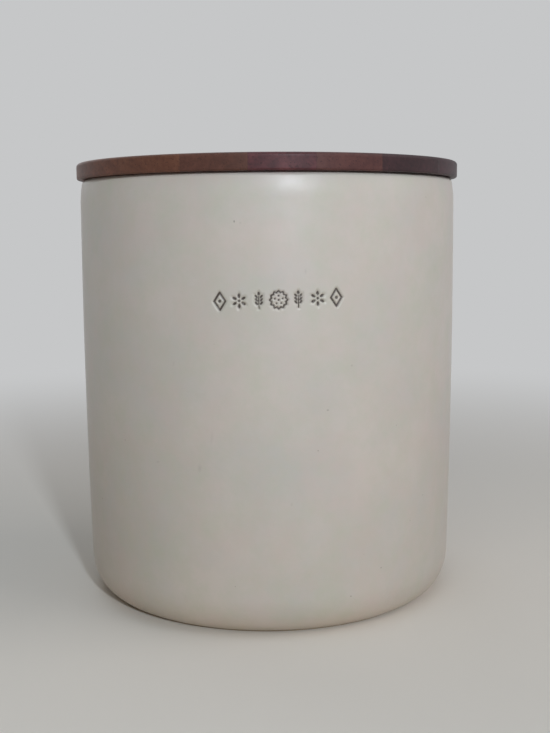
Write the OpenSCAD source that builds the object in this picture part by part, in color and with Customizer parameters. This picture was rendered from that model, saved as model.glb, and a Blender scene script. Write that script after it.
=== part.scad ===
// Biscuit jar: a slip-cast stoneware jar with a wooden lid glued up from seven staves, sealed by
// a silicone gasket that sits in a groove turned in the lid's plug.
// +Z is up. The origin is on the jar's axis, on the surface that the foot ring stands on.

/* [Jar body] */
// Outer width of the body at its widest point
jar_width = 180; // [150:1:216]
// Height of the rim above the shelf
jar_height = 198.5; // [160:0.5:239]
// Thickness of the side wall
wall = 6.5; // [5.4:0.1:8]
// Thickness of the floor
floor_thickness = 7; // [5.5:0.1:9]
// How far the widest point lies below the rim
belly_below_rim = 63; // [45:1:76]
// How much narrower the radius would be at the shelf than at the widest point
belly_bow = 1.8; // [0:0.1:3]
// How far the heel curves in from the wall
heel_reach = 14; // [11:0.5:18]
// How high the heel's curve starts above the shelf
heel_height = 18.5; // [14:0.5:22]
// Radius of the round between the inside wall and the floor
inner_corner_radius = 12; // [8:0.5:15]

/* [Rim] */
// How far the wall draws in towards the rim, below its round
rim_draw = 1.2; // [0.6:0.1:1.5]
// How far below the rim the wall begins to draw in
rim_draw_drop = 11; // [6:0.5:15]
// Radius of the rim's outer round
rim_outer_round = 2.4; // [1.4:0.1:2.9]
// How far the inner round of the rim reaches out from the mouth
rim_inner_reach = 1.0; // [0.6:0.1:1.1]
// How far the inner round of the rim reaches down the mouth
rim_inner_drop = 2.2; // [1:0.1:2.6]
// Height of the straight, cylindrical stretch of the mouth
mouth_height = 24; // [20:1:30]

/* [Foot] */
// Height of the bare foot ring under the glaze line
foot_height = 1.2; // [0.8:0.1:2]
// How far the foot steps in from the heel
foot_inset = 1.7; // [0.8:0.1:2.5]
// Width of the foot ring
foot_width = 9; // [6:0.5:14]
// Height of the hollow inside the foot ring
foot_hollow = 2.2; // [1.5:0.1:3]

/* [Lid] */
// Thickness of the lid above the rim
lid_thickness = 7.4; // [6:0.1:10]
// How far the lid stands out past the jar's wall at the rim
lid_overhang = 1.6; // [0.5:0.1:4]
// Radius of the lid's upper edge
lid_upper_round = 1.5; // [0.8:0.1:2.5]
// Radius of the lid's lower edge
lid_lower_round = 0.9; // [0.5:0.1:2]
// Depth of the plug that goes into the mouth
plug_depth = 10; // [9.4:0.1:13]
// Gap between the plug and the mouth, which the gasket's lips bridge
plug_clearance = 2.4; // [1.9:0.1:3]
// Bevel on the plug's lower edge
plug_bevel = 1; // [0.5:0.1:1.5]

/* [Staves] */
// Waste cut off the glued panel when the disc is sawn from it
panel_waste = 12.4; // [12.4:0.1:20]
// How far the panel's middle lies from the disc's middle
panel_shift = 6.2; // [0:0.1:6.2]

/* [Gasket] */
// Depth of the groove in the plug
groove_depth = 3.2; // [2.5:0.1:4]
// Height of the groove
groove_height = 4.6; // [4:0.1:5.6]
// Wood left on the plug below the groove
groove_ledge = 2.7; // [2:0.1:3]
// Running clearance of the gasket in its groove
groove_fit = 0.08; // [0.02:0.01:0.1]
// Gap between the gasket's lips and the mouth
lip_gap = 0.2; // [0.1:0.05:0.3]
// Thickness of a lip at its root
lip_root = 1.3; // [1:0.1:1.5]
// Thickness of a lip at its tip
lip_tip = 0.7; // [0.5:0.05:0.9]
// How far a lip's tip is bent up above its root
lip_rise = 0.5; // [0.2:0.1:0.6]

/* [Hidden] */

staves = 7;
lips = 2;
foot_bevel = 0.5;
seam_step = 0.01; // neighbouring staves meet on a whole step, so that both are cut at the same place
planing = 1; // wood planed off the panel above and below the disc
wall_steps = 14;
heel_steps = 14;
draw_steps = 7;
rim_steps = 9;
edge_steps = 6;
round_fn = 180;

// heights and radii that the pieces share
belly_z = jar_height - belly_below_rim;
mouth_r = body_r(jar_height) - wall;
mouth_bottom = jar_height - mouth_height;
floor_top = foot_hollow + floor_thickness;
lid_r = body_r(jar_height) + lid_overhang;
lid_top = jar_height + lid_thickness;
plug_r = mouth_r - plug_clearance;
plug_bottom = jar_height - plug_depth;
groove_bottom = plug_bottom + groove_ledge;
groove_top = groove_bottom + groove_height;
stave_width = (2 * lid_r + panel_waste) / staves;
panel_reach = ceil(lid_r + panel_waste);

// Outer radius of the bowed wall at height z
function body_r(z) = jar_width / 2 - belly_bow * pow((z - belly_z) / belly_z, 2);

// Slope of the wall at height z; positive where it widens upwards
function body_slope(z) = -2 * belly_bow * (z - belly_z) / pow(belly_z, 2);

// How far the wall has drawn in at a depth below the rim
function draw_in(depth) = rim_draw * pow(1 - depth / rim_draw_drop, 2);

// Angle by which the drawn-in wall leans at a depth below the rim
function draw_lean(depth) = atan(2 * rim_draw / rim_draw_drop * (1 - depth / rim_draw_drop));

// Where a stave begins, counted from 1 at -X
function seam(number) =
    seam_step * round((panel_shift + (number - 1 - staves / 2) * stave_width) / seam_step);

// Points along an elliptical arc round a centre, from one angle to another
function arc(centre, rx, rz, from, to, steps) =
    [for (i = [0:steps]) let (a = from + (to - from) * i / steps)
        [centre[0] + rx * cos(a), centre[1] + rz * sin(a)]];

// The jar's section, from the middle of its underside, up the outside and back down the inside
function jar_section() =
    let (
        heel_end = -atan(body_slope(heel_height) * heel_height / heel_reach),
        heel_start = asin(foot_height / heel_height - 1),
        heel_top = heel_height * (1 + sin(heel_end)),
        heel_c = [body_r(heel_top) - heel_reach * cos(heel_end), heel_height],
        foot_r = heel_c[0] + heel_reach * cos(heel_start) - foot_inset,
        rim_lean = draw_lean(rim_outer_round * (1 - sin(draw_lean(rim_outer_round)))),
        rim_depth = rim_outer_round * (1 - sin(rim_lean)),
        rim_c = [body_r(jar_height - rim_depth) - draw_in(rim_depth) - rim_outer_round * cos(rim_lean),
                 jar_height - rim_outer_round],
        lip_c = [mouth_r + rim_inner_reach, jar_height - rim_inner_drop],
        corner_z = floor_top + inner_corner_radius,
        corner_c = [body_r(corner_z) - wall - inner_corner_radius, corner_z],
        wall_rise = (jar_height - rim_draw_drop - heel_top) / wall_steps,
        draw_rise = (rim_draw_drop - rim_depth) / draw_steps,
        inner_rise = (mouth_bottom - corner_z) / wall_steps
    )
    concat(
        [[0, foot_hollow],
         [foot_r - foot_width - foot_hollow, foot_hollow],
         [foot_r - foot_width, 0],
         [foot_r - foot_bevel, 0],
         [foot_r, foot_bevel],
         [foot_r, foot_height]],
        arc(heel_c, heel_reach, heel_height, heel_start, heel_end, heel_steps),
        [for (i = [1:wall_steps]) let (z = heel_top + i * wall_rise) [body_r(z), z]],
        [for (i = [1:draw_steps - 1])
            let (depth = rim_draw_drop - i * draw_rise, z = jar_height - depth) [body_r(z) - draw_in(depth), z]],
        arc(rim_c, rim_outer_round, rim_outer_round, rim_lean, 90, rim_steps),
        arc(lip_c, rim_inner_reach, rim_inner_drop, 90, 180, rim_steps),
        [[mouth_r, mouth_bottom + wall]],
        [for (i = [wall_steps:-1:1]) let (z = corner_z + i * inner_rise) [body_r(z) - wall, z]],
        arc(corner_c, inner_corner_radius, inner_corner_radius, 0, -90, heel_steps),
        [[0, floor_top]]
    );

// The lid's section: a rounded disc over a plug with the gasket's groove
function lid_section() =
    concat(
        [[0, plug_bottom],
         [plug_r - plug_bevel, plug_bottom],
         [plug_r, plug_bottom + plug_bevel],
         [plug_r, groove_bottom],
         [plug_r - groove_depth, groove_bottom],
         [plug_r - groove_depth, groove_top],
         [plug_r, groove_top],
         [plug_r, jar_height]],
        arc([lid_r - lid_lower_round, jar_height + lid_lower_round],
            lid_lower_round, lid_lower_round, -90, 0, edge_steps),
        arc([lid_r - lid_upper_round, lid_top - lid_upper_round],
            lid_upper_round, lid_upper_round, 0, 90, edge_steps),
        [[0, lid_top]]
    );

// The gasket's section: a band that fills the groove, with two thin lips bent up by the mouth
function gasket_section() =
    let (
        back = plug_r - groove_depth + groove_fit,
        bottom = groove_bottom + groove_fit,
        top = groove_top - groove_fit,
        tip = mouth_r - lip_gap,
        pitch = (top - bottom - lip_root) / lips
    )
    concat(
        [[back, bottom], [plug_r, bottom]],
        [for (i = [0:lips - 1]) let (z = bottom + pitch * (i + 0.5) - lip_rise / 2)
            each [[plug_r, z], [tip, z + lip_rise], [tip, z + lip_rise + lip_tip], [plug_r, z + lip_root]]],
        [[plug_r, top], [back, top]]
    );

// The one-piece stoneware body
module jar() {
    color("#cfc8b8")
        rotate_extrude($fn = round_fn)
            polygon(jar_section());
}

// The silicone sealing ring
module gasket() {
    color("#e6e4dd")
        rotate_extrude($fn = round_fn)
            polygon(gasket_section());
}

// One stave of the lid: the slice of the turned disc that it takes up; the first one reaches past the edge
module lid_stave(number, shade) {
    left = number == 1 ? -panel_reach : seam(number);
    color(shade)
        intersection() {
            rotate_extrude($fn = round_fn)
                polygon(lid_section());
            translate([left, -panel_reach, plug_bottom - planing])
                cube([seam(number + 1) - left, 2 * panel_reach, lid_top - plug_bottom + 2 * planing]);
        }
}

jar();
gasket();
lid_stave(1, "#4e2f2a");  // lid_stave_1
lid_stave(2, "#5e3629");  // lid_stave_2
lid_stave(3, "#633829");  // lid_stave_3
lid_stave(4, "#5d3432");  // lid_stave_4
lid_stave(5, "#61352d");  // lid_stave_5
lid_stave(6, "#44302f");  // lid_stave_6
lid_stave(7, "#493432");  // lid_stave_7
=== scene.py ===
import math
import bmesh
import bpy
from mathutils import Matrix, Vector, noise


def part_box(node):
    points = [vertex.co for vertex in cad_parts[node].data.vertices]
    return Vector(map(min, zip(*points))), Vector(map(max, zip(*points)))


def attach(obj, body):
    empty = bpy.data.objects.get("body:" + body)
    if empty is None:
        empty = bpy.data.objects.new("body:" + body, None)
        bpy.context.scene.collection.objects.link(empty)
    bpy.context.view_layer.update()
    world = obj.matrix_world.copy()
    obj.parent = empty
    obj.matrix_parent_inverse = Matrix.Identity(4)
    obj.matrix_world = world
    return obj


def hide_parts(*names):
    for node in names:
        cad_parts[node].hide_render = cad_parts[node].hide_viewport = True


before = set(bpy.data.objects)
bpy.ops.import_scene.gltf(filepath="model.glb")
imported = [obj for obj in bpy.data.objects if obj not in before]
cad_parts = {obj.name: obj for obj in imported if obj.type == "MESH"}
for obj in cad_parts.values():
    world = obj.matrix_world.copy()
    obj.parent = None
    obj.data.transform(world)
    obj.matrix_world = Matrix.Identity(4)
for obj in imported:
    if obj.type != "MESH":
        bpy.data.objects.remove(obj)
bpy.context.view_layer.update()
mm = 0.001
perMm = (1 / mm, 1 / mm, 1 / mm)  # scale that turns object coordinates into millimetres
sharpAngle = 38  # degrees; faces that meet at more than this keep a crisp edge

# The camera stands a little below the lid and looks slightly down. Metres and degrees.
cameraSetup = {
    "place": (0.0, -0.5221, 0.175),
    "tip": 7.414,  # below level
    "pan": 0.357,  # to the left of the jar's axis
    "lean": -0.403,  # about the line of sight
    "lens": 51.87,  # mm, on a long side of 36 mm
    "sensor": 36.0,
}


def addCamera(setup):
    data = bpy.data.cameras.new("camera")
    data.sensor_width = setup["sensor"]
    data.lens = setup["lens"]
    camera = bpy.data.objects.new("camera", data)
    bpy.context.scene.collection.objects.link(camera)
    turn = (Matrix.Rotation(math.radians(setup["lean"]), 3, "Y")
            @ Matrix.Rotation(math.radians(setup["tip"]), 3, "X")
            @ Matrix.Rotation(math.radians(setup["pan"]), 3, "Z"))
    right, ahead, up = turn  # rows: the camera's own directions in the world
    camera.matrix_world = Matrix((right, up, -ahead)).transposed().to_4x4()
    camera.location = setup["place"]
    bpy.context.scene.camera = camera


addCamera(cameraSetup)
print("camera placed")


def linear(hexColour):
    # sRGB as written in hex, turned into the linear colour that shaders take
    parts = [int(hexColour[i:i + 2], 16) / 255 for i in (1, 3, 5)]
    return tuple(c / 12.92 if c <= 0.04045 else ((c + 0.055) / 1.055) ** 2.4 for c in parts) + (1.0,)


def addNode(tree, kind, inputs=None, stops=None, **settings):
    # inputs are values, nodes or sockets by name or number; stops are a colour ramp's places and colours
    node = tree.nodes.new("ShaderNode" + kind)
    for name, value in settings.items():
        setattr(node, name, value)
    if stops:
        ramp = node.color_ramp.elements
        ramp[0].position, ramp[1].position = stops[0][0], stops[-1][0]
        ramp[0].color, ramp[1].color = linear(stops[0][1]), linear(stops[-1][1])
        for place, colour in stops[1:-1]:
            ramp.new(place).color = linear(colour)
    for name, value in (inputs or {}).items():
        byName = [s for s in node.inputs if s.enabled and s.name == name]
        socket = node.inputs[name] if isinstance(name, int) else byName[0]
        if isinstance(value, bpy.types.Node):
            value = [s for s in value.outputs if s.enabled][0]
        if isinstance(value, bpy.types.NodeSocket):
            tree.links.new(value, socket)
        else:
            socket.default_value = value
    return node


def newMaterial(name):
    material = bpy.data.materials.new(name)
    material.use_nodes = True
    material.node_tree.nodes.clear()
    return material, material.node_tree


def newPiece(name, mesh, body, node, materials):
    for polygon in mesh.polygons:
        polygon.use_smooth = True
    mesh.set_sharp_from_angle(angle=math.radians(sharpAngle))
    for material in materials:
        mesh.materials.append(material)
    piece = bpy.data.objects.new(name, mesh)
    bpy.context.scene.collection.objects.link(piece)
    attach(piece, body)
    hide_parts(node)


def arc(centre, reach, rise, start, end, steps):
    angles = [math.radians(start + (end - start) * i / steps) for i in range(steps + 1)]
    return [(centre[0] + reach * math.cos(a), centre[1] + rise * math.sin(a)) for a in angles]


def smooth(low, high, value):
    # 0 at low, 1 at high, with a soft start and end
    t = min(1.0, max(0.0, (value - low) / (high - low)))
    return t * t * (3 - 2 * t)


def ringFaces(rows, count):
    # faces between rings of points, where a ring on the axis is a single point
    faces = []
    for below, above in zip(rows, rows[1:]):
        for j in range(count):
            k = (j + 1) % count
            lower = [below[j % len(below)], below[k % len(below)]]
            upper = [above[k % len(above)], above[j % len(above)]]
            faces.append(list(dict.fromkeys(lower + upper)))
    return faces


# The jar, in mm: slip-cast in one piece, with a bowed wall, a curved heel and a foot ring.
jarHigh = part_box("jar")[1]
seatGap = 0.02  # mm that the rim stays clear of the lid which rests on it
jar = {
    "width": 2 * jarHigh.x / mm,
    "height": jarHigh.z / mm - seatGap,
    "wall": 6.5,
    "floor": 7.0,
    "bellyBelowRim": 63.0,
    "bellyBow": 1.8,
    "heelReach": 14.0,
    "heelHeight": 18.5,
    "cornerRadius": 12.0,  # of the round between the inside wall and the floor
    "rimDraw": 1.2,  # how far the wall draws in towards the rim
    "rimDrawDrop": 11.0,  # how far below the rim that begins
    "rimOuterRound": 2.4,
    "rimInner": (1.0, 2.2),  # how far the inner round reaches out from the mouth and down it
    "mouthHeight": 24.0,
    "footHeight": 1.2,
    "footInset": 1.7,
    "footWidth": 9.0,
    "footHollow": 2.2,
    "footBevel": 0.5,
    "footEase": 0.15,  # by which the foot ring's inner corners are worn round
    "wander": 0.1,  # how far the wall wanders inwards, as a hand-finished casting does
    "wanderLength": 38.0,  # from one shallow hollow to the next
    "wanderAbove": 22.0,  # height from which the wall wanders fully
    "wanderBelowRim": (1.0, 16.0),  # depths where the wandering ends and where it is still full
    "wanderReach": 8.0,  # how far in from the widest point the outside counts as wall
    "coarseTurn": 2.3,  # degrees between columns of the mesh
    "coarseRise": 4.0,  # between rows on the wall
    "heelRows": 26,  # rows of the mesh on the heel, and below on the other rounds
    "drawRows": 10,
    "rimRows": 14,
    "lipRows": 9,
    "insideRows": 30,
    "cornerRows": 16,
}
# A row of seven small stamps, in mm, pressed into the clay before firing and rubbed with dark oxide.
stamps = {
    "order": ["lozenge", "flower", "wheat", "biscuit", "wheat", "flower", "lozenge"],
    "pitch": 8.2,
    "centreHeight": 146.2,
    "centreAcross": 4.4,
    "tilt": 1.3,  # degrees, rising to the right
    "tiltRise": 0.7,  # how far the row's ends lie above and below its middle
    "size": 3.6,  # half the height of a stamp
    "stroke": 0.54,  # half the width of a line
    "depth": 0.5,
    "softness": 0.3,  # over which the clay rounds into a line
    "dip": 0.23,  # that the clay gives way round a line
    "dipReach": 0.65,  # from the line to where it is level again
    "oxideFrom": 0.45,  # share of the depth at which the oxide begins
    "oxideFull": 0.85,
    "grid": 0.25,  # between the mesh's points where the stamps are
    "margin": 1.4,  # of that fine mesh round the stamps
}


def bodyRadius(z):
    bellyHeight = jar["height"] - jar["bellyBelowRim"]
    return jar["width"] / 2 - jar["bellyBow"] * ((z - bellyHeight) / bellyHeight) ** 2


def turned(u, v, degrees):
    # a place as seen from axes that are turned to the left
    a = math.radians(degrees)
    return u * math.cos(a) + v * math.sin(a), -u * math.sin(a) + v * math.cos(a)


def oval(along, across, halfLong, halfWide):
    return (math.hypot(along / halfLong, across / halfWide) - 1) * halfWide


# Each stamp's shape: how far a place, in mm from its middle, lies outside its nearest line.
def lozenge(u, v):
    half, tall, dot = 0.66 * stamps["size"], stamps["size"], 0.75
    share = (abs(v) * tall - (abs(u) - half) * half) / (half ** 2 + tall ** 2)
    share = min(1.0, max(0.0, share))  # how far up a side its nearest point lies
    side = math.hypot(abs(u) - half * (1 - share), abs(v) - tall * share)
    return min(side - stamps["stroke"], math.hypot(u, v) - dot)


def flower(u, v):
    centre, petals, petalReach, petalLong, petalWide = 0.66, 6, 2.15, 1.2, 0.67
    best = math.hypot(u, v) - centre
    for i in range(petals):
        along, across = turned(u, v, 360 / petals * i + 30)
        best = min(best, oval(along - petalReach, across, petalLong, petalWide))
    return best


def wheat(u, v):
    stalkWide, stalkLong, stalkDrop = 0.34, 2.75, 0.9
    tipHeight, tipLong, tipWide = 2.75, 1.0, 0.66
    kernelOut, kernelLean, kernelLong, kernelWide = 1.02, 52, 1.12, 0.58
    best = max(abs(u) - stalkWide, abs(v + stalkDrop) - stalkLong)
    best = min(best, oval(v - tipHeight, u, tipLong, tipWide))
    for level in (1.55, 0.2, -1.15):
        along, across = turned(abs(u) - kernelOut, v - level, kernelLean)
        best = min(best, oval(along, across, kernelLong, kernelWide))
    return best


def biscuit(u, v):
    waves, waveShare, holes, holeRing, hole, middleHole = 12, 0.07, 5, 1.7, 0.5, 0.54
    a, r = math.atan2(v, u), math.hypot(u, v)
    edge = stamps["size"] * (1 - waveShare + waveShare * math.cos(waves * a))
    best = min(abs(r - edge) - stamps["stroke"], r - middleHole)
    for i in range(holes):
        b = math.radians(360 / holes * i + 90)
        best = min(best, math.hypot(u - holeRing * math.cos(b), v - holeRing * math.sin(b)) - hole)
    return best


stampShapes = {"lozenge": lozenge, "flower": flower, "wheat": wheat, "biscuit": biscuit}


def stampGap(angle, z):
    # how far a point of the wall lies from the stamps' nearest line, below zero inside it
    across = math.radians(angle) * jar["width"] / 2 - stamps["centreAcross"]
    u, v = turned(across, z - stamps["centreHeight"], stamps["tilt"])
    last = len(stamps["order"]) - 1
    nearest = round(u / stamps["pitch"] + last / 2)
    gap = stamps["margin"]
    for index in range(max(0, nearest - 1), min(last, nearest + 1) + 1):
        fromMiddle = u - (index - last / 2) * stamps["pitch"]
        if max(abs(fromMiddle), abs(v)) < stamps["size"] + stamps["margin"]:
            shape = stampShapes[stamps["order"][index]]
            gap = min(gap, shape(fromMiddle, v))
    return gap


def drawIn(depth):
    # how far the wall has drawn in at a depth below the rim
    return jar["rimDraw"] * (1 - depth / jar["rimDrawDrop"]) ** 2


def drawLean(depth):
    # the lean of the drawn-in wall, in degrees
    slope = 2 * jar["rimDraw"] / jar["rimDrawDrop"] * (1 - depth / jar["rimDrawDrop"])
    return math.degrees(math.atan(slope))


def rimOutline():
    # the wall draws in a little and then turns over in the rim's outer round
    top, drop, turn, rows = jar["height"], jar["rimDrawDrop"], jar["rimOuterRound"], jar["drawRows"]
    lean = drawLean(turn * (1 - math.sin(math.radians(drawLean(turn)))))
    depth = turn * (1 - math.sin(math.radians(lean)))
    depths = [drop + (depth - drop) * i / rows for i in range(1, rows)]
    outline = [(bodyRadius(top - d) - drawIn(d), top - d) for d in depths]
    across = bodyRadius(top - depth) - drawIn(depth) - turn * math.cos(math.radians(lean))
    return outline + arc((across, top - turn), turn, turn, lean, 90, jar["rimRows"])


def wallRows(bottom, top):
    # heights of the mesh's rows on the wall, close together across the stamps
    half = stamps["size"] + stamps["margin"] + stamps["tiltRise"]
    low, high = stamps["centreHeight"] - half, stamps["centreHeight"] + half
    coarse, fine = jar["coarseRise"], stamps["grid"]
    rows = []
    for start, end, step in ((bottom, low, coarse), (low, high, fine), (high, top, coarse)):
        count = math.ceil((end - start) / step)
        rows += [start + (end - start) * i / count for i in range(1, count + 1)]
    return rows


def footOutline(foot):
    # the glazed roof of the hollow, then the bare ring, wiped clean of glaze; the points just beside a
    # corner keep the flats flat
    hollow, ease, bevel = jar["footHollow"], jar["footEase"], jar["footBevel"]
    inner = foot - jar["footWidth"]
    roof = inner - hollow
    glazed = [(0, hollow), (inner * 0.5, hollow), (roof - 3, hollow), (roof - 0.6, hollow)]
    bare = [(roof, hollow - ease), (inner - 0.4, ease), (inner, 0), (foot - bevel, 0),
            (foot - 0.12, 0.16), (foot, bevel), (foot, jar["footHeight"] - 0.1)]
    return [p + ("glaze",) for p in glazed] + [p + ("bare",) for p in bare]


def outsideOutline():
    top, reach, rise = jar["height"], jar["heelReach"], jar["heelHeight"]
    bellyHeight = top - jar["bellyBelowRim"]
    slope = -2 * jar["bellyBow"] * (rise - bellyHeight) / bellyHeight ** 2
    heelEnd = -math.degrees(math.atan(slope * rise / reach))
    heelStart = math.degrees(math.asin(jar["footHeight"] / rise - 1))
    heelTop = rise * (1 + math.sin(math.radians(heelEnd)))
    heelCentre = (bodyRadius(heelTop) - reach * math.cos(math.radians(heelEnd)), rise)
    foot = heelCentre[0] + reach * math.cos(math.radians(heelStart)) - jar["footInset"]
    glazed = arc(heelCentre, reach, rise, heelStart, heelEnd, jar["heelRows"])
    glazed += [(bodyRadius(z), z) for z in wallRows(heelTop, top - jar["rimDrawDrop"])]
    glazed += rimOutline()
    return footOutline(foot) + [p + ("glaze",) for p in glazed]


def insideOutline():
    top, wall, corner, rows = jar["height"], jar["wall"], jar["cornerRadius"], jar["insideRows"]
    mouth, mouthBottom = bodyRadius(top) - wall, top - jar["mouthHeight"]
    floorTop = jar["footHollow"] + jar["floor"]
    bottom = floorTop + corner
    lipReach, lipDrop = jar["rimInner"]
    lined = arc((mouth + lipReach, top - lipDrop), lipReach, lipDrop, 90, 180, jar["lipRows"])
    lined += [(mouth, top - 8), (mouth, mouthBottom + wall + 0.5), (mouth, mouthBottom + wall)]
    heights = [bottom + (mouthBottom - bottom) * i / rows for i in range(rows, 0, -1)]
    lined += [(bodyRadius(z) - wall, z) for z in heights]
    across = bodyRadius(bottom) - wall - corner
    lined += arc((across, bottom), corner, corner, 0, -90, jar["cornerRows"])
    lined += [(across - 3, floorTop), (across * 0.5, floorTop), (0, floorTop)]
    return [p + ("lining",) for p in lined]


def jarAngles():
    # degrees from the front, close together across the stamps
    radius = jar["width"] / 2
    middle = math.degrees(stamps["centreAcross"] / radius)
    half = math.degrees((len(stamps["order"]) * stamps["pitch"] / 2 + stamps["margin"]) / radius)
    fineCount = math.ceil(2 * half / math.degrees(stamps["grid"] / radius))
    coarseCount = math.ceil((360 - 2 * half) / jar["coarseTurn"])
    angles = [middle - half + 2 * half * i / fineCount for i in range(fineCount)]
    return angles + [middle + half + (360 - 2 * half) * i / coarseCount for i in range(coarseCount)]


def wallPoint(radius, z, angle, fade, gap):
    # a point of the jar, moved in by the wandering and by the nearest stamp, and how much oxide it has
    line = smooth(stamps["softness"] / 2, -stamps["softness"], gap)
    pressed = stamps["depth"] * line + stamps["dip"] * smooth(stamps["dipReach"], 0, gap)
    a = math.radians(angle)
    side, front = math.sin(a), -math.cos(a)
    place = Vector((side * radius, front * radius, z)) / jar["wanderLength"]
    wander = jar["wander"] * fade * (0.5 + 0.5 * noise.noise(place))
    r = (radius - wander - pressed) * mm
    return (side * r, front * r, z * mm), smooth(stamps["oxideFrom"], stamps["oxideFull"], line)


def buildJar():
    outline, angles = outsideOutline() + insideOutline(), jarAngles()
    high, (rimEnd, rimFull) = jar["height"], jar["wanderBelowRim"]
    vertices, pigments, rows = [], [], []
    for radius, z, finish in outline:
        onWall = radius > jar["width"] / 2 - jar["wanderReach"] and z > jar["footHeight"]
        outside = finish == "glaze" and onWall
        fade = smooth(jar["footHeight"], jar["wanderAbove"], z)
        fade *= smooth(high - rimEnd, high - rimFull, z)
        ring = angles if radius else [0]
        rows.append(list(range(len(vertices), len(vertices) + len(ring))))
        for angle in ring:
            gap = stampGap(angle, z) if outside else stamps["margin"]
            vertex, pigment = wallPoint(radius, z, angle, fade if outside else 0, gap)
            vertices.append(vertex)
            pigments.append(pigment)
    finishes = [["glaze", "bare", "lining"].index(finish) for _, _, finish in outline[1:]]
    mesh = bpy.data.meshes.new("stonewareJar")
    mesh.from_pydata(vertices, [], ringFaces(rows, len(angles)))
    mesh.polygons.foreach_set("material_index", [finish for finish in finishes for _ in angles])
    mesh.attributes.new("pigment", "FLOAT", "POINT").data.foreach_set("value", pigments)
    mesh.update()
    return mesh


# Satin glaze over stoneware, dipped and fired: an off-white that drifts between cream, grey, green and
# pink where it lies thicker or thinner, with a broad soft sheen, and here and there an iron speck or a
# pinhole. Sizes and heights are in mm; a spread is the part of the noise over which a tint comes in.
glaze = {
    "cream": "#d6cec7",
    "grey": "#ccc9c4",
    "green": "#c8c9b9",
    "blush": "#d7c6c1",
    "speck": "#6b5a48",
    "oxide": "#453a33",
    "rub": "#8b867f",
    "cloudSize": 46.0,
    "cloudSpread": (0.36, 0.64),
    "mottleSize": 15.0,
    "mottleSpread": (0.4, 0.7),
    "blushSize": 24.0,
    "blushSpread": (0.44, 0.7),
    "tintMost": 0.6,  # the most green or blush that is mixed in
    "speckSpacing": 7.0,
    "speckChance": 0.62,  # share of the pattern's cells without a speck
    "speckRadius": 0.055,  # the largest, as a share of the spacing
    "speckEdge": (-0.004, 0.02),  # how far outside and inside that a speck fades, in the same measure
    "speckMost": 0.5,
    "rubEdge": (1.4, 0.2),  # where a rub begins and where it is full, as shares of its half size
    "wearSize": 0.8,  # of the patches where the oxide has worn thin
    "wearSpread": (0.25, 0.5),
    "wearLeast": 0.75,  # share of the oxide that is left there
    "pinholeSpacing": 26.0,
    "pinholeEdge": (0.008, 0.02),  # from its floor to the glaze round it, as shares of the spacing
    "pinholeDepth": 0.15,
    "rippleSize": 9.0,
    "rippleHeight": 0.16,
    "orangePeelSize": 1.6,
    "orangePeelHeight": 0.016,
    "roughness": (0.43, 0.52),  # over the middle of the mottling
    "coat": 0.5,
    "coatRoughness": 0.34,
    "ior": 1.5,
}
# Pits, specks and faint rubs on the front: how far across and up, half length and half width in mm, lean
# to the right in degrees, and how dark.
rubs = [
    {"across": -13.5, "up": 178.2, "long": 0.5, "wide": 0.27, "lean": 0, "shade": 1.0},
    {"across": -11.0, "up": 177.6, "long": 0.5, "wide": 0.45, "lean": 0, "shade": 0.17},
    {"across": -47.9, "up": 75.9, "long": 0.8, "wide": 0.45, "lean": 75, "shade": 0.2},
    {"across": -29.4, "up": 74.9, "long": 1.7, "wide": 0.75, "lean": 5, "shade": 0.18},
    {"across": -24.0, "up": 88.3, "long": 2.6, "wide": 0.6, "lean": 8, "shade": 0.09},
    {"across": -40.0, "up": 119.0, "long": 1.0, "wide": 0.4, "lean": 13, "shade": 0.12},
    {"across": 15.5, "up": 157.7, "long": 1.0, "wide": 0.45, "lean": 0, "shade": 0.15},
    {"across": 35.0, "up": 118.0, "long": 0.45, "wide": 0.45, "lean": 0, "shade": 0.27},
    {"across": 24.7, "up": 99.7, "long": 0.35, "wide": 0.5, "lean": 0, "shade": 0.55},
    {"across": 9.3, "up": 60.0, "long": 0.8, "wide": 0.45, "lean": 0, "shade": 0.15},
]
rubReach = 60.0  # mm that a blot reaches into and out of the wall, so that its depth doesn't matter


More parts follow.
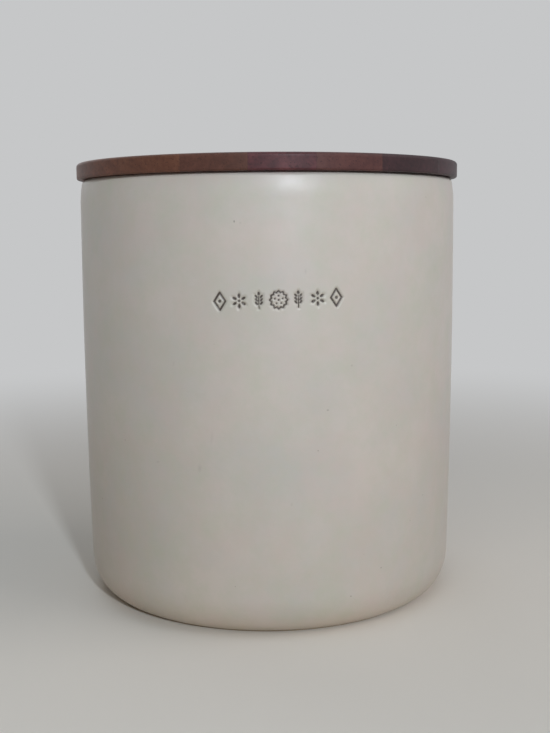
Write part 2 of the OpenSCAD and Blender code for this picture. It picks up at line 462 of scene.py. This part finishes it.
def glazeColour(tree, place, mottle):
    # the body colour with its drifting tints, its specks and its rubs
    cloud = addNode(tree, "TexNoise", {
        "Vector": place, "Scale": 1 / glaze["cloudSize"], "Detail": 6.0, "Roughness": 0.6})
    blush = addNode(tree, "TexNoise", {
        "Vector": place, "Scale": 1 / glaze["blushSize"], "Detail": 5.0, "Roughness": 0.7})
    colour = linear(glaze["cream"])
    tints = [("grey", cloud.outputs[0], "cloudSpread", 1.0),
             ("green", mottle.outputs[0], "mottleSpread", glaze["tintMost"]),
             ("blush", blush.outputs["Color"], "blushSpread", glaze["tintMost"])]
    for tint, pattern, spread, most in tints:
        low, high = glaze[spread]
        share = addNode(tree, "MapRange", {
            "Value": pattern, "From Min": low, "From Max": high, "To Max": most})
        colour = addNode(tree, "Mix", {
            "Factor": share, "A": colour, "B": linear(glaze[tint])}, data_type="RGBA")
    # iron specks of different sizes; a cell of the pattern without a speck has no radius
    cells = addNode(tree, "TexVoronoi", {"Vector": place, "Scale": 1 / glaze["speckSpacing"]})
    chance = addNode(tree, "SeparateColor", {"Color": cells.outputs["Color"]})
    radius = addNode(tree, "MapRange", {
        "Value": chance.outputs["Red"], "From Min": glaze["speckChance"],
        "To Max": glaze["speckRadius"]})
    inside = addNode(tree, "Math", {0: radius, 1: cells.outputs["Distance"]}, operation="SUBTRACT")
    low, high = glaze["speckEdge"]
    speck = addNode(tree, "MapRange", {
        "Value": inside, "From Min": low, "From Max": high, "To Max": glaze["speckMost"]})
    colour = addNode(tree, "Mix", {
        "Factor": speck, "A": colour, "B": linear(glaze["speck"])}, data_type="RGBA")
    # the rubs: blots that are darkest in the middle
    begins, full = glaze["rubEdge"]
    for rub in rubs:
        blot = addNode(tree, "Mapping", {
            "Vector": place, "Location": (rub["across"], -jar["width"] / 2, rub["up"]),
            "Rotation": (0, math.radians(rub["lean"]), 0),
            "Scale": (rub["wide"], rubReach, rub["long"])}, vector_type="TEXTURE")
        away = addNode(tree, "VectorMath", {0: blot}, operation="LENGTH")
        share = addNode(tree, "MapRange", {
            "Value": away.outputs["Value"], "From Min": begins, "From Max": full,
            "To Max": rub["shade"]})
        colour = addNode(tree, "Mix", {
            "Factor": share, "A": colour, "B": linear(glaze["rub"])}, data_type="RGBA")
    return colour


def satinGlaze():
    material, tree = newMaterial("satinGlaze")
    coords = addNode(tree, "TexCoord")
    place = addNode(tree, "Mapping", {"Vector": coords.outputs["Object"], "Scale": perMm})
    mottle = addNode(tree, "TexNoise", {
        "Vector": place, "Scale": 1 / glaze["mottleSize"], "Detail": 5.0, "Roughness": 0.7})
    # oxide lies in the stamps, worn thin in places
    pigment = addNode(tree, "Attribute", attribute_name="pigment")
    wear = addNode(tree, "TexNoise", {"Vector": place, "Scale": 1 / glaze["wearSize"], "Detail": 2.0})
    low, high = glaze["wearSpread"]
    wearShare = addNode(tree, "MapRange", {
        "Value": wear.outputs[0], "From Min": low, "From Max": high, "To Min": glaze["wearLeast"]})
    oxide = addNode(tree, "Math", {0: pigment.outputs["Fac"], 1: wearShare}, operation="MULTIPLY")
    clean = glazeColour(tree, place, mottle)
    colour = addNode(tree, "Mix", {
        "Factor": oxide, "A": clean, "B": linear(glaze["oxide"])}, data_type="RGBA")
    smoothest, roughest = glaze["roughness"]
    rough = addNode(tree, "MapRange", {
        "Value": mottle.outputs[0], "From Min": 0.3, "From Max": 0.7,
        "To Min": smoothest, "To Max": roughest})
    # ripples, orange peel and pinholes
    ripple = addNode(tree, "TexNoise", {
        "Vector": place, "Scale": 1 / glaze["rippleSize"], "Detail": 2.0})
    peel = addNode(tree, "TexNoise", {
        "Vector": place, "Scale": 1 / glaze["orangePeelSize"], "Detail": 2.0})
    holes = addNode(tree, "TexVoronoi", {"Vector": place, "Scale": 1 / glaze["pinholeSpacing"]})
    low, high = glaze["pinholeEdge"]
    hole = addNode(tree, "MapRange", {
        "Value": holes.outputs["Distance"], "From Min": low, "From Max": high})
    relief = None
    for height, size in ((ripple, "rippleHeight"), (peel, "orangePeelHeight"), (hole, "pinholeDepth")):
        inputs = {"Height": height, "Strength": 1.0, "Distance": glaze[size] * mm}
        if relief:
            inputs["Normal"] = relief
        relief = addNode(tree, "Bump", inputs)
    shader = addNode(tree, "BsdfPrincipled", {
        "Base Color": colour, "Roughness": rough, "IOR": glaze["ior"], "Coat Weight": glaze["coat"],
        "Coat Roughness": glaze["coatRoughness"], "Normal": relief, "Coat Normal": relief})
    addNode(tree, "OutputMaterial", {"Surface": shader})
    return material


# Bare stoneware where the glaze was wiped off the foot: a sandy buff clay, matt, with fine grog.
bareClay = {
    "light": "#b9a68c",
    "dark": "#9c8a70",
    "grogSize": 0.7,
    "grogHeight": 0.08,
    "roughness": 0.85,
}


def bareStoneware():
    material, tree = newMaterial("bareStoneware")
    coords = addNode(tree, "TexCoord")
    place = addNode(tree, "Mapping", {"Vector": coords.outputs["Object"], "Scale": perMm})
    grog = addNode(tree, "TexNoise", {
        "Vector": place, "Scale": 1 / bareClay["grogSize"], "Detail": 4.0, "Roughness": 0.7})
    colour = addNode(tree, "Mix", {
        "Factor": grog.outputs[0], "A": linear(bareClay["light"]), "B": linear(bareClay["dark"])},
        data_type="RGBA")
    bump = addNode(tree, "Bump", {
        "Height": grog, "Strength": 1.0, "Distance": bareClay["grogHeight"] * mm})
    shader = addNode(tree, "BsdfPrincipled", {
        "Base Color": colour, "Roughness": bareClay["roughness"], "Normal": bump})
    addNode(tree, "OutputMaterial", {"Surface": shader})
    return material


# Liner glaze poured inside: a paler, glossier white that runs a little unevenly down the wall.
lining = {
    "white": "#d8d4c8",
    "shade": "#cbc7ba",
    "runWidth": 12.0,
    "runLength": 70.0,
    "runHeight": 0.1,
    "roughness": 0.22,
    "ior": 1.5,
}


def linerGlaze():
    material, tree = newMaterial("linerGlaze")
    coords = addNode(tree, "TexCoord")
    perRun = 1 / lining["runWidth"] / mm
    place = addNode(tree, "Mapping", {
        "Vector": coords.outputs["Object"], "Scale": (perRun, perRun, 1 / lining["runLength"] / mm)})
    runs = addNode(tree, "TexNoise", {"Vector": place, "Scale": 1.0, "Detail": 3.0})
    colour = addNode(tree, "Mix", {
        "Factor": runs.outputs[0], "A": linear(lining["white"]), "B": linear(lining["shade"])},
        data_type="RGBA")
    bump = addNode(tree, "Bump", {
        "Height": runs, "Strength": 1.0, "Distance": lining["runHeight"] * mm})
    shader = addNode(tree, "BsdfPrincipled", {
        "Base Color": colour, "Roughness": lining["roughness"], "IOR": lining["ior"], "Normal": bump})
    addNode(tree, "OutputMaterial", {"Surface": shader})
    return material


jarMaterials = [satinGlaze(), bareStoneware(), linerGlaze()]
newPiece("stonewareJar", buildJar(), "jar", "jar", jarMaterials)
print("jar built, with", len(stamps["order"]), "stamps")

# The lid, in mm: one turned disc with a plug, cut into the staves that it was glued up from.
lidLow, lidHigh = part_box("lid_stave_4")
lid = {
    "overhang": 1.6,  # past the jar's wall at the rim
    "bottom": jarHigh.z / mm,
    "top": lidHigh.z / mm,
    "upperRound": 1.5,
    "upperRows": 10,
    "lowerRound": 0.9,
    "lowerRows": 7,
    "plugBottom": lidLow.z / mm,
    "plugClearance": 2.4,  # between the plug and the mouth
    "plugBevel": 1.0,
    "grooveDepth": 3.2,
    "grooveHeight": 4.6,
    "grooveLedge": 2.7,
    "grooveEase": 0.15,  # taken off the groove's outer corners with sandpaper
    "turn": 1.5,  # degrees between columns of the mesh
}
plugRadius = bodyRadius(jar["height"]) - jar["wall"] - lid["plugClearance"]


def lidOutline():
    # from the middle of the plug round to the middle of the top, with points just beside each corner too
    r, bottom, top = bodyRadius(jar["height"]) + lid["overhang"], lid["bottom"], lid["top"]
    under, bevel, ease = lid["plugBottom"], lid["plugBevel"], lid["grooveEase"]
    ledge, groove = under + lid["grooveLedge"], plugRadius - lid["grooveDepth"]
    roof = ledge + lid["grooveHeight"]
    lower, upper = lid["lowerRound"], lid["upperRound"]
    outline = [(0, under), (plugRadius - bevel - 0.3, under), (plugRadius - bevel, under + 0.05),
               (plugRadius - 0.05, under + bevel), (plugRadius, under + bevel + 0.3),
               (plugRadius, ledge - ease), (plugRadius - ease, ledge), (groove, ledge), (groove, roof),
               (plugRadius - ease, roof), (plugRadius, roof + ease), (plugRadius, bottom),
               (r - lower - 0.4, bottom)]
    outline += arc((r - lower, bottom + lower), lower, lower, -90, 0, lid["lowerRows"])
    outline += [(r, bottom + lower + 0.3), (r, top - upper - 0.3)]
    outline += arc((r - upper, top - upper), upper, upper, 0, 90, lid["upperRows"])
    return outline + [(r - upper - 0.5, top), (0, top)]


def latheMesh(name, outline, step):
    angles = [math.radians(step * i) for i in range(round(360 / step))]
    vertices, rows = [], []
    for radius, z in outline:
        ring = angles if radius else angles[:1]
        rows.append(list(range(len(vertices), len(vertices) + len(ring))))
        vertices += [(math.sin(a) * radius * mm, -math.cos(a) * radius * mm, z * mm) for a in ring]
    if outline[0][0] > 0:  # a ring has no poles, and its outline joins up
        rows.append(rows[0])
    mesh = bpy.data.meshes.new(name)
    mesh.from_pydata(vertices, [], ringFaces(rows, len(angles)))
    mesh.update()
    return mesh


def cutStave(name, disc, left, right):
    # the slice of the disc between two seams, closed where the saw and the glue were
    work = bmesh.new()
    work.from_mesh(disc)
    for place, outward in ((left, -1), (right, 1)):
        if place is None:
            continue
        geometry = work.verts[:] + work.edges[:] + work.faces[:]
        result = bmesh.ops.bisect_plane(work, geom=geometry, plane_co=(place * mm, 0, 0),
                                        plane_no=(outward, 0, 0), clear_outer=True)
        cut = [e for e in result["geom_cut"] if isinstance(e, bmesh.types.BMEdge)]
        bmesh.ops.holes_fill(work, edges=cut)
    bmesh.ops.recalc_face_normals(work, faces=work.faces[:])
    mesh = bpy.data.meshes.new(name)
    work.to_mesh(mesh)
    work.free()
    return mesh


# Acacia, quarter to flat sawn, turned, sanded and lacquered: dark red-brown heartwood that differs from
# stave to stave, growth bands that show on the long grain and hardly on the end grain, open pores as
# dashes along the grain and as dots on the ends, and a satin coat over it. Sizes are in mm.
acacia = {
    "bandSpacing": 4.2,  # from one growth ring to the next
    "bandLong": 0.3,  # how strong the bands are on the long grain
    "bandEnd": 0.07,  # and on the end grain
    "endGrain": (0.3, 0.9),  # how far a face turns along the grain from long grain to end grain
    "yearsVary": 15.0,  # over which narrow rings give way to wide ones
    "yearsShift": 2.6,  # rings by which they get ahead or fall behind
    "yearShades": (0.15, 1.3),  # the faintest and the strongest ring
    "warp": 5.0,  # how far the rings wander
    "warpAcross": 26.0,
    "warpAlong": 150.0,
    "poreSpacing": 1.15,
    "poreLength": 11.0,
    "poreEdge": (0.25, 0.17),  # where a pore begins and is full, as shares of the spacing
    "poreShade": 0.85,
    "poreDepth": 0.05,
    "fibreWidth": 0.45,
    "fibreLength": 24.0,
    "fibreHeight": 0.02,
    "fibreShare": 0.45,  # how strong the fibres are against the streaks, and the flecks below
    "streakWidth": 9.0,
    "streakLength": 210.0,
    "fleckSize": 1.8,
    "fleckShare": 0.75,
    "toneRange": (0.575, 1.375),  # from the darkest wood to the lightest
    "glue": "#2a1a14",
    "glueLine": 0.13,  # half its width
    "glueCore": 0.4,  # share of it that isn't faded
    "glueShade": 0.4,
    "roughness": (0.44, 0.6),
    "ior": 1.36,
    "coat": 0.15,
    "coatRoughness": 0.36,
}
# For each stave: dark, middle and light tone, where the tree's heart lay beside it in mm, how its grain
# slants in degrees, and how far up the tree it was cut in mm.
staves = [
    {"slot": "acacia_brown", "dark": "#45291f", "middle": "#5e382a", "light": "#754937",
     "heart": (-150, -60), "slant": 1.2, "start": 137},
    {"slot": "acacia_brown", "dark": "#492b20", "middle": "#613b2c", "light": "#734a38",
     "heart": (-92, -48), "slant": -2.1, "start": 274},
    {"slot": "acacia_brown", "dark": "#43271f", "middle": "#56342a", "light": "#684136",
     "heart": (-70, 40), "slant": 1.6, "start": 1482},
    {"slot": "acacia_red", "dark": "#361a1f", "middle": "#4d252a", "light": "#69393d",
     "heart": (48, -70), "slant": -1.4, "start": 1070},
    {"slot": "acacia_red", "dark": "#3f2224", "middle": "#53302e", "light": "#603b37",
     "heart": (96, -36), "slant": 2.4, "start": 1495},
    {"slot": "acacia_dark", "dark": "#251318", "middle": "#331c21", "light": "#46292e",
     "heart": (20, -85), "slant": -0.9, "start": 1266},
    {"slot": "acacia_dark", "dark": "#28181d", "middle": "#392228", "light": "#4c3036",
     "heart": (150, -30), "slant": 1.8, "start": 1664},
]
seams = [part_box("lid_stave_%d" % i)[1].x / mm for i in range(1, len(staves))]


def alongGrain(width, length):
    # scale that stretches a pattern along the grain
    return (1 / width, 1 / length, 1 / width)


def growthBands(tree, grown, heart, facing):
    # distance from the tree's heart, counted in rings, each of its own strength
    heartX, heartZ = heart
    fromHeart = addNode(tree, "VectorMath", {
        0: grown, 1: (heartX, 0, heartZ + lid["top"])}, operation="SUBTRACT")
    flat = addNode(tree, "VectorMath", {0: fromHeart, 1: (1, 0, 1)}, operation="MULTIPLY")
    age = addNode(tree, "VectorMath", {0: flat}, operation="LENGTH")
    years = addNode(tree, "Math", {
        0: age.outputs["Value"], 1: acacia["bandSpacing"]}, operation="DIVIDE")
    growth = addNode(tree, "TexNoise", {
        "W": age.outputs["Value"], "Scale": 1 / acacia["yearsVary"], "Detail": 1.0},
        noise_dimensions="1D")
    rings = addNode(tree, "Math", {
        0: growth.outputs[0], 1: acacia["yearsShift"], 2: years}, operation="MULTIPLY_ADD")
    ring = addNode(tree, "Math", {0: rings}, operation="FRACT")
    year = addNode(tree, "Math", {0: rings}, operation="FLOOR")
    yearChance = addNode(tree, "TexWhiteNoise", {"W": year}, noise_dimensions="1D")
    faintest, strongest = acacia["yearShades"]
    yearShade = addNode(tree, "MapRange", {
        "Value": yearChance.outputs["Value"], "To Min": faintest, "To Max": strongest})
    bandShape = addNode(tree, "MapRange", {"Value": ring}, interpolation_type="SMOOTHERSTEP")
    long, end = acacia["endGrain"]
    bandDepth = addNode(tree, "MapRange", {
        "Value": facing, "From Min": long, "From Max": end,
        "To Min": acacia["bandLong"], "To Max": acacia["bandEnd"]})
    bandShade = addNode(tree, "Math", {0: bandShape, 1: yearShade}, operation="MULTIPLY")
    return addNode(tree, "Math", {0: bandShade, 1: bandDepth}, operation="MULTIPLY")


def acaciaStave(number):
    stave = staves[number - 1]
    material, tree = newMaterial("acaciaStave%d" % number)
    coords = addNode(tree, "TexCoord")
    place = addNode(tree, "Mapping", {
        "Vector": coords.outputs["Object"], "Scale": perMm,
        "Rotation": (0, 0, math.radians(stave["slant"])), "Location": (0, stave["start"], 0)})
    normal = addNode(tree, "SeparateXYZ", {"Vector": coords.outputs["Normal"]})
    facing = addNode(tree, "Math", {0: normal.outputs["Y"]}, operation="ABSOLUTE")
    # the grain wanders
    slow = addNode(tree, "VectorMath", {
        0: place, 1: alongGrain(acacia["warpAcross"], acacia["warpAlong"])}, operation="MULTIPLY")
    wander = addNode(tree, "TexNoise", {"Vector": slow, "Scale": 1.0, "Detail": 2.0})
    shift = addNode(tree, "VectorMath", {
        0: wander.outputs["Color"], 1: (0.5, 0.5, 0.5)}, operation="SUBTRACT")
    shiftMm = addNode(tree, "VectorMath", {0: shift, "Scale": 2 * acacia["warp"]}, operation="SCALE")
    grown = addNode(tree, "VectorMath", {0: place, 1: shiftMm}, operation="ADD")
    band = growthBands(tree, grown, stave["heart"], facing)
    # broad streaks and fine fibres along the grain, and flecks that show on the ends
    streakAt = addNode(tree, "VectorMath", {
        0: grown, 1: alongGrain(acacia["streakWidth"], acacia["streakLength"])}, operation="MULTIPLY")
    streak = addNode(tree, "TexNoise", {
        "Vector": streakAt, "Scale": 1.0, "Detail": 3.0, "Roughness": 0.55})
    fibreAt = addNode(tree, "VectorMath", {
        0: place, 1: alongGrain(acacia["fibreWidth"], acacia["fibreLength"])}, operation="MULTIPLY")
    fibre = addNode(tree, "TexNoise", {
        "Vector": fibreAt, "Scale": 1.0, "Detail": 3.0, "Roughness": 0.65})
    fleck = addNode(tree, "TexNoise", {
        "Vector": place, "Scale": 1 / acacia["fleckSize"], "Detail": 3.0, "Roughness": 0.6})
    tone = addNode(tree, "Math", {0: streak.outputs[0], 1: band}, operation="SUBTRACT")
    for detail, share in ((fleck, "fleckShare"), (fibre, "fibreShare")):
        tone = addNode(tree, "Math", {
            0: detail.outputs[0], 1: acacia[share], 2: tone}, operation="MULTIPLY_ADD")
    darkest, lightest = acacia["toneRange"]
    toneShare = addNode(tree, "MapRange", {"Value": tone, "From Min": darkest, "From Max": lightest})
    tones = [(0.0, stave["dark"]), (0.5, stave["middle"]), (1.0, stave["light"])]
    colour = addNode(tree, "ValToRGB", {"Fac": toneShare}, tones)
    # pores: long thin cells, dark in the middle
    poreAt = addNode(tree, "VectorMath", {
        0: place, 1: alongGrain(acacia["poreSpacing"], acacia["poreLength"])}, operation="MULTIPLY")
    pores = addNode(tree, "TexVoronoi", {"Vector": poreAt, "Scale": 1.0})
    poreStart, poreFull = acacia["poreEdge"]
    pore = addNode(tree, "MapRange", {
        "Value": pores.outputs["Distance"], "From Min": poreStart, "From Max": poreFull})
    poreShade = addNode(tree, "Math", {0: pore, 1: acacia["poreShade"]}, operation="MULTIPLY")
    colour = addNode(tree, "Mix", {
        "Factor": poreShade, "A": colour, "B": linear(stave["dark"])}, data_type="RGBA")
    # a thin line of glue at each seam
    across = addNode(tree, "SeparateXYZ", {"Vector": coords.outputs["Object"]})
    for seam in seams[max(0, number - 2):number]:
        gap = addNode(tree, "Math", {0: across.outputs["X"], 1: seam * mm}, operation="SUBTRACT")
        distance = addNode(tree, "Math", {0: gap}, operation="ABSOLUTE")
        line = addNode(tree, "MapRange", {
            "Value": distance, "From Min": acacia["glueLine"] * mm,
            "From Max": acacia["glueCore"] * acacia["glueLine"] * mm, "To Max": acacia["glueShade"]})
        colour = addNode(tree, "Mix", {
            "Factor": line, "A": colour, "B": linear(acacia["glue"])}, data_type="RGBA")
    smoothest, roughest = acacia["roughness"]
    rough = addNode(tree, "MapRange", {
        "Value": fibre.outputs[0], "To Min": smoothest, "To Max": roughest})
    poreBump = addNode(tree, "Bump", {
        "Height": pore, "Strength": 1.0, "Distance": -acacia["poreDepth"] * mm})
    relief = addNode(tree, "Bump", {
        "Height": fibre, "Strength": 1.0, "Distance": acacia["fibreHeight"] * mm, "Normal": poreBump})
    shader = addNode(tree, "BsdfPrincipled", {
        "Base Color": colour, "Roughness": rough, "IOR": acacia["ior"], "Coat Weight": acacia["coat"],
        "Coat Roughness": acacia["coatRoughness"], "Normal": relief})
    addNode(tree, "OutputMaterial", {"Surface": shader})
    return material


disc = latheMesh("turnedDisc", lidOutline(), lid["turn"])
for number, (left, right) in enumerate(zip([None] + seams, seams + [None]), 1):
    mesh = cutStave("lidStave%d" % number, disc, left, right)
    newPiece("lidStave%d" % number, mesh, "lid", "lid_stave_%d" % number, [acaciaStave(number)])
bpy.data.meshes.remove(disc)
print("lid cut into", len(staves), "staves at", [round(s, 1) for s in seams])

# The gasket: silicone, compression moulded, milky and slightly see-through at its thin lips, with a soft
# matt skin. Sizes are in mm.
silicone = {
    "colour": "#d9d6cc",
    "dusty": "#c6c2b6",
    "dustSize": 6.0,
    "roughness": 0.5,
    "ior": 1.41,
    "glow": 0.35,  # share of the light that passes into it
    "glowReach": (2.0, 1.8, 1.5),
    "fit": 0.08,  # clearance in the groove
    "lips": 2,
    "lipGap": 0.2,  # between a lip and the mouth
    "lipRoot": 1.3,
    "lipTip": 0.7,
    "lipRise": 0.5,
    "tipTurn": 80,  # degrees that a tip is rounded to each side
    "tipRows": 6,
}


def gasketOutline():
    back = plugRadius - lid["grooveDepth"] + silicone["fit"]
    tip = plugRadius + lid["plugClearance"] - silicone["lipGap"]
    bottom = lid["plugBottom"] + lid["grooveLedge"] + silicone["fit"]
    top = bottom + lid["grooveHeight"] - 2 * silicone["fit"]
    root, rise, tipRound = silicone["lipRoot"], silicone["lipRise"], silicone["lipTip"] / 2
    turn, rows = silicone["tipTurn"], silicone["tipRows"]
    pitch = (top - bottom - root) / silicone["lips"]
    outline = [(back, top), (back, bottom), (plugRadius, bottom)]
    for i in range(silicone["lips"]):
        z = bottom + pitch * (i + 0.5) - rise / 2
        outline += [(plugRadius, z)]
        outline += arc((tip - tipRound, z + rise + tipRound), tipRound, tipRound, -turn, turn, rows)
        outline += [(plugRadius, z + root)]
    return outline + [(plugRadius, top)]


def siliconeRubber():
    material, tree = newMaterial("siliconeRubber")
    coords = addNode(tree, "TexCoord")
    place = addNode(tree, "Mapping", {"Vector": coords.outputs["Object"], "Scale": perMm})
    dust = addNode(tree, "TexNoise", {"Vector": place, "Scale": 1 / silicone["dustSize"], "Detail": 3.0})
    colour = addNode(tree, "Mix", {
        "Factor": dust.outputs[0], "A": linear(silicone["colour"]), "B": linear(silicone["dusty"])},
        data_type="RGBA")
    shader = addNode(tree, "BsdfPrincipled", {
        "Base Color": colour, "Roughness": silicone["roughness"], "IOR": silicone["ior"],
        "Subsurface Weight": silicone["glow"],
        "Subsurface Radius": tuple(reach * mm for reach in silicone["glowReach"])})
    addNode(tree, "OutputMaterial", {"Surface": shader})
    return material


gasketMesh = latheMesh("siliconeGasket", gasketOutline(), lid["turn"])
newPiece("siliconeGasket", gasketMesh, "gasket", "gasket", [siliconeRubber()])
print("gasket built")

# The studio: a plain matt floor that melts into a pale backdrop. Metres.
studio = {
    "floor": "#d8c4aa",  # the warm tone of a shelf, whose light tints the heel
    "floorSeen": "#f1ece5",  # the paler tone in which the camera and a mirror show it
    "floorSize": 12.0,
    "floorRoughness": 0.8,
    "floorSpecular": 0.2,
    "backdrop": "#c6c7c8",
    "world": 0.025,
    "fadeStart": 0.14,  # from the jar to where the floor begins to melt into the backdrop
    "fadeEnd": 0.85,
}
# Each lamp's direction from its aim in degrees (turn from the front to the right, rise above level), how
# far away it is and how wide in metres, its power and colour, and the height that it aims at.
lamps = [
    {"name": "warmWindow", "turn": 75, "rise": 35, "away": 2.2, "size": 1.8, "power": 10.55,
     "colour": (1, 0.92, 0.86), "aim": 0.13},
    {"name": "roomFront", "turn": -12, "rise": 32, "away": 1.6, "size": 0.9, "power": 2.25,
     "colour": (1, 0.98, 0.86), "aim": 0.13},
    {"name": "ceiling", "turn": 0, "rise": 90, "away": 1.6, "size": 1.5, "power": 5.65,
     "colour": (0.86, 0.94, 1), "aim": 0.13},
    {"name": "backWindow", "turn": 205, "rise": 30, "away": 2.4, "size": 2.0, "power": 8.0,
     "colour": (0.95, 0.97, 1), "aim": 0.13},
    {"name": "smallLamp", "turn": 14, "rise": 17.5, "away": 1.4, "size": 0.08, "power": 7.8,
     "colour": (0.84, 0.92, 1), "aim": 0.19},
]


def seenBackground(tree):
    # 1 for a ray that shows the background: the camera's own, mirrored or passed through
    path = addNode(tree, "LightPath")
    seen = path.outputs["Is Camera Ray"]
    for ray in ("Is Glossy Ray", "Is Transmission Ray"):
        seen = addNode(tree, "Math", {0: seen, 1: path.outputs[ray]}, operation="MAXIMUM")
    return seen


def paleFloor():
    material, tree = newMaterial("paleFloor")
    coords = addNode(tree, "TexCoord")
    away = addNode(tree, "VectorMath", {0: coords.outputs["Object"]}, operation="LENGTH")
    fade = addNode(tree, "MapRange", {
        "Value": away.outputs["Value"], "From Min": studio["fadeStart"], "From Max": studio["fadeEnd"]},
        interpolation_type="SMOOTHSTEP")
    colour = addNode(tree, "Mix", {
        "Factor": seenBackground(tree), "A": linear(studio["floor"]), "B": linear(studio["floorSeen"])},
        data_type="RGBA")
    near = addNode(tree, "BsdfPrincipled", {
        "Base Color": colour, "Roughness": studio["floorRoughness"],
        "Specular IOR Level": studio["floorSpecular"]})
    far = addNode(tree, "Emission", {"Color": linear(studio["backdrop"])})
    mixed = addNode(tree, "MixShader", {"Fac": fade, 1: near, 2: far})
    addNode(tree, "OutputMaterial", {"Surface": mixed})
    return material


def addFloor():
    half = studio["floorSize"] / 2
    corners = [(-half, -half, 0), (half, -half, 0), (half, half, 0), (-half, half, 0)]
    mesh = bpy.data.meshes.new("floor")
    mesh.from_pydata(corners, [], [(0, 1, 2, 3)])
    mesh.materials.append(paleFloor())
    floor = bpy.data.objects.new("floor", mesh)
    bpy.context.scene.collection.objects.link(floor)


def addWorld():
    world = bpy.data.worlds.new("studioWorld")
    bpy.context.scene.world = world
    world.use_nodes = True
    tree = world.node_tree
    tree.nodes.clear()
    light = addNode(tree, "Background", {"Color": linear("#ffffff"), "Strength": studio["world"]})
    backdrop = addNode(tree, "Background", {"Color": linear(studio["backdrop"]), "Strength": 1.0})
    mixed = addNode(tree, "MixShader", {"Fac": seenBackground(tree), 1: light, 2: backdrop})
    addNode(tree, "OutputWorld", {"Surface": mixed})


def addLamp(lamp):
    data = bpy.data.lights.new(lamp["name"], "AREA")
    data.size = lamp["size"]
    data.energy = lamp["power"]
    data.color = lamp["colour"]
    light = bpy.data.objects.new(lamp["name"], data)
    turn, rise = math.radians(lamp["turn"]), math.radians(lamp["rise"])
    toLamp = Vector((math.sin(turn) * math.cos(rise), -math.cos(turn) * math.cos(rise), math.sin(rise)))
    light.location = Vector((0, 0, lamp["aim"])) + lamp["away"] * toLamp
    light.rotation_euler = toLamp.to_track_quat("Z", "Y").to_euler()
    bpy.context.scene.collection.objects.link(light)


addFloor()
addWorld()
for lamp in lamps:
    addLamp(lamp)
bpy.context.scene.view_settings.view_transform = "Standard"
print("floor and light ready")
